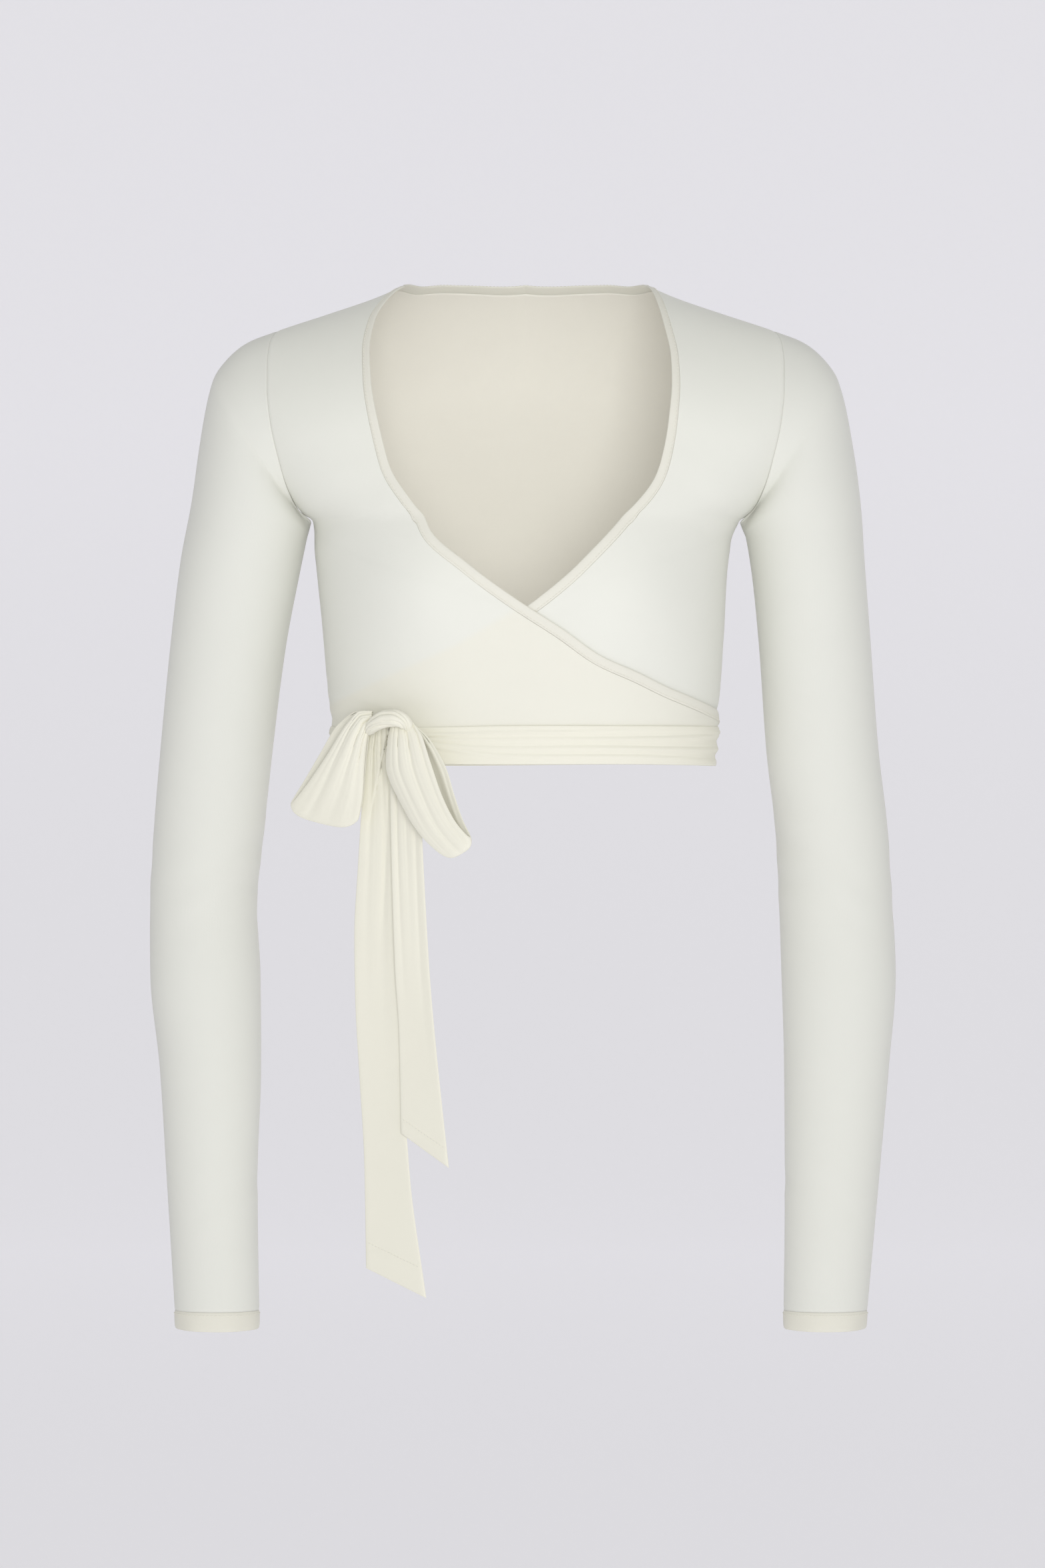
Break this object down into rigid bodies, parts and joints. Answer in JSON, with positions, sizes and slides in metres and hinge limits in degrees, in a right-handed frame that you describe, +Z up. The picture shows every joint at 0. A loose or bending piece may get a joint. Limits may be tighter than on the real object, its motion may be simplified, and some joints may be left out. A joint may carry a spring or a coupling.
{
  "type": "wrap top",
  "caption": "Cropped long-sleeved wrap top in fine stretch jersey, hollow as if worn, with a crossed front, bound V neck and a bow tied at one side of the waist.",
  "frame": {"origin": "where the wearer's shoulders carry the top: midway between the two shoulder seams, at their mean height", "axes": "+Z up the body, +X towards the wearer's left, -Y the way the wearer faces"},
  "size_m": [0.4698, 0.2158, 0.6591],
  "materials": {
    "back_cloth": "matt fine jersey",
    "front_outer_cloth": "matt fine jersey",
    "front_under_cloth": "matt fine jersey",
    "neck_binding_back_cloth": "matt fine jersey",
    "neck_binding_outer_cloth": "matt fine jersey",
    "neck_binding_under_cloth": "matt fine jersey",
    "sleeve_left_cloth": "matt fine jersey",
    "sleeve_right_cloth": "matt fine jersey",
    "cuff_hem_left_cloth": "matt fine jersey",
    "cuff_hem_right_cloth": "matt fine jersey",
    "waist_tie_cloth": "matt fine jersey",
    "knot_cloth": "matt fine jersey",
    "bow_loop_left_cloth": "matt fine jersey",
    "bow_loop_right_cloth": "matt fine jersey",
    "tie_tail_long_cloth": "matt fine jersey",
    "tie_tail_short_cloth": "matt fine jersey"
  },
  "bodies": {
    "root": {"back": "back_cloth", "front_outer": "front_outer_cloth", "front_under": "front_under_cloth", "neck_binding_back": "neck_binding_back_cloth", "neck_binding_outer": "neck_binding_outer_cloth", "neck_binding_under": "neck_binding_under_cloth", "sleeve_left": "sleeve_left_cloth", "sleeve_right": "sleeve_right_cloth", "cuff_hem_left": "cuff_hem_left_cloth", "cuff_hem_right": "cuff_hem_right_cloth", "waist_tie": "waist_tie_cloth", "knot": "knot_cloth", "bow_loop_left": "bow_loop_left_cloth", "bow_loop_right": "bow_loop_right_cloth", "tie_tail_long": "tie_tail_long_cloth", "tie_tail_short": "tie_tail_short_cloth"}
  },
  "joints": []
}
